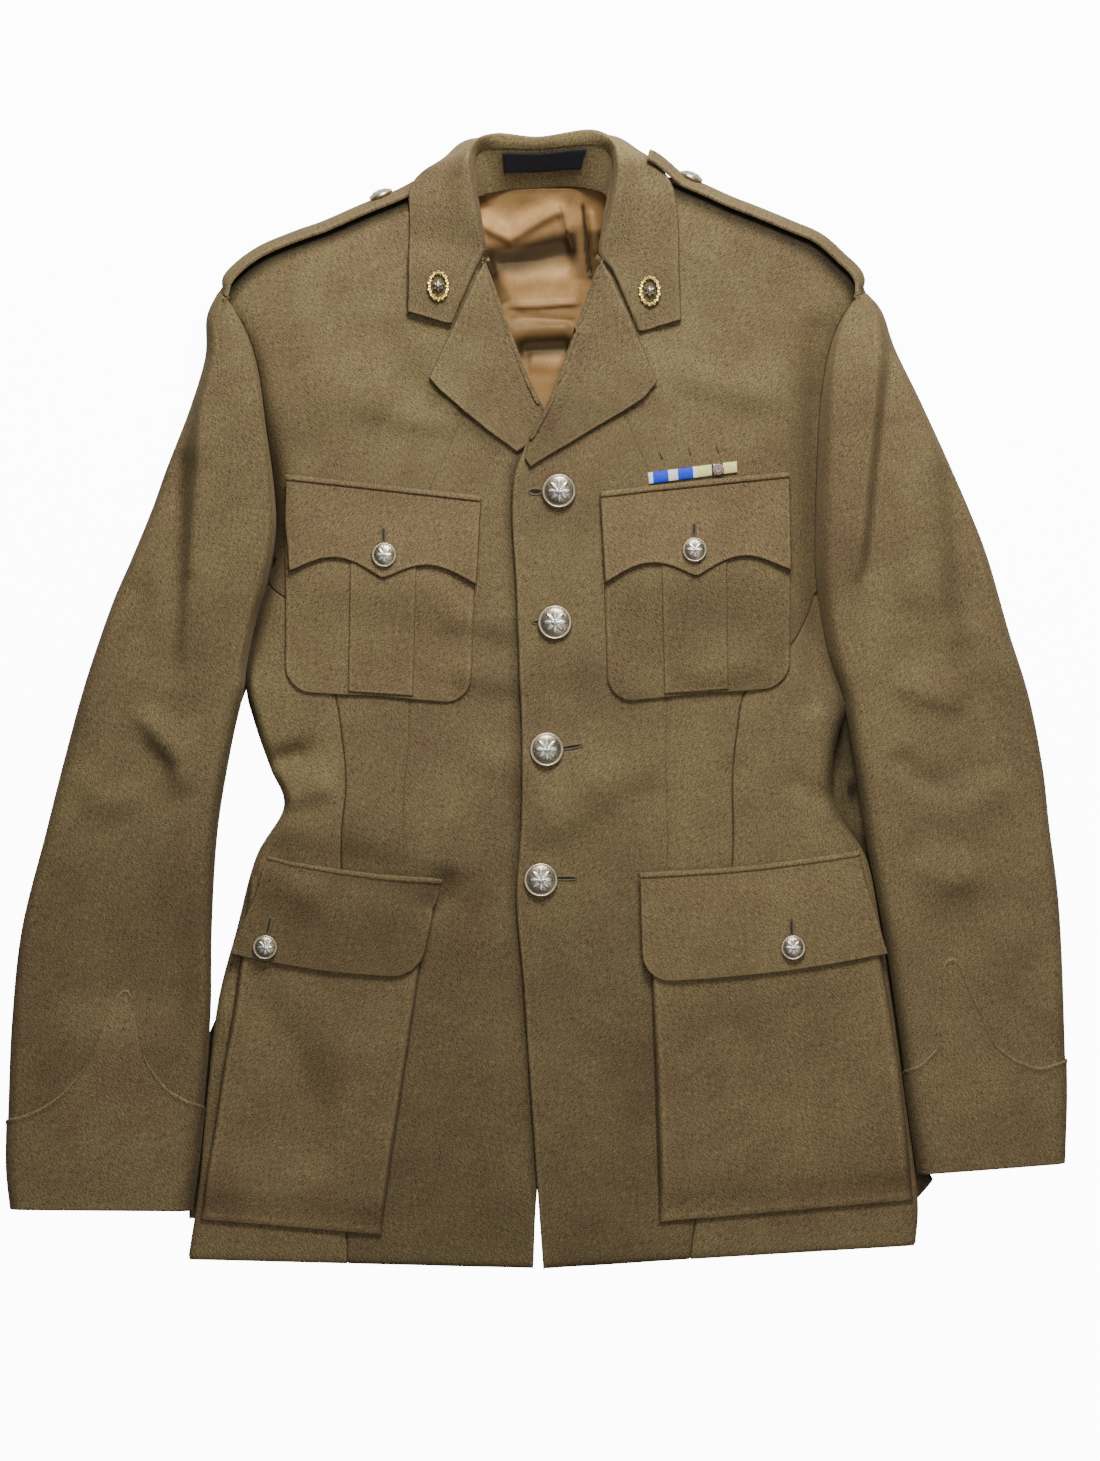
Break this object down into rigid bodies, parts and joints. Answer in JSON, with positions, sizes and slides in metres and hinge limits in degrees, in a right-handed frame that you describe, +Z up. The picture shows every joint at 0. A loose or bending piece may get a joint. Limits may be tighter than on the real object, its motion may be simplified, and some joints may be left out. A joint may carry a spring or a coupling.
{
  "type": "military dress tunic",
  "caption": "Buttoned wool dress tunic laid flat, with notched lapels, flapped patch and bellows pockets, shoulder straps and pointed cuffs.",
  "frame": {"origin": "bottom centre of the bounding box, on the surface the tunic lies on", "axes": "+X to the wearer's left, +Y towards the collar, +Z up off the surface"},
  "size_m": [0.764, 0.8157, 0.0516],
  "materials": {
    "barathea": "matt diagonal rib weave, olive khaki",
    "satin_lining": "glossy golden tan",
    "button_metal": "pressed, pale gilt, satin sheen",
    "badge_gilt": "pressed gilt",
    "badge_silver": "pressed silver",
    "label_navy": "dark navy, bare",
    "ribbon_blue": "watered, blue with white stripes",
    "ribbon_sand": "watered, sand yellow with a dark centre",
    "rosette_silk": "gathered, white"
  },
  "bodies": {
    "root": {"back_left": "barathea", "back_right": "barathea", "badge_star_left": "badge_silver", "badge_star_right": "badge_silver", "badge_wreath_left": "badge_gilt", "badge_wreath_right": "badge_gilt", "breast_button_left": "button_metal", "breast_button_right": "button_metal", "breast_flap_left": "barathea", "breast_flap_right": "barathea", "breast_pocket_left": "barathea", "breast_pocket_right": "barathea", "breast_welt_left": "barathea", "breast_welt_right": "barathea", "collar_leaf": "barathea", "collar_stand": "barathea", "cuff_left": "barathea", "cuff_right": "barathea", "front_button_1": "button_metal", "front_button_2": "button_metal", "front_button_3": "button_metal", "front_button_4": "button_metal", "front_left": "barathea", "front_right": "barathea", "lapel_left": "barathea", "lapel_right": "barathea", "lower_button_left": "button_metal", "lower_button_right": "button_metal", "lower_flap_left": "barathea", "lower_flap_right": "barathea", "lower_pocket_left": "barathea", "lower_pocket_right": "barathea", "lower_welt_left": "barathea", "lower_welt_right": "barathea", "neck_label": "label_navy", "neck_lining": "satin_lining", "pocket_pleat_left": "barathea", "pocket_pleat_right": "barathea", "ribbon_inner": "ribbon_blue", "ribbon_outer": "ribbon_sand", "ribbon_rosette": "rosette_silk", "shoulder_strap_left": "barathea", "shoulder_strap_right": "barathea", "side_body_left": "barathea", "side_body_right": "barathea", "strap_button_left": "button_metal", "strap_button_right": "button_metal", "top_sleeve_left": "barathea", "top_sleeve_right": "barathea", "under_sleeve_left": "barathea", "under_sleeve_right": "barathea"}
  },
  "joints": []
}
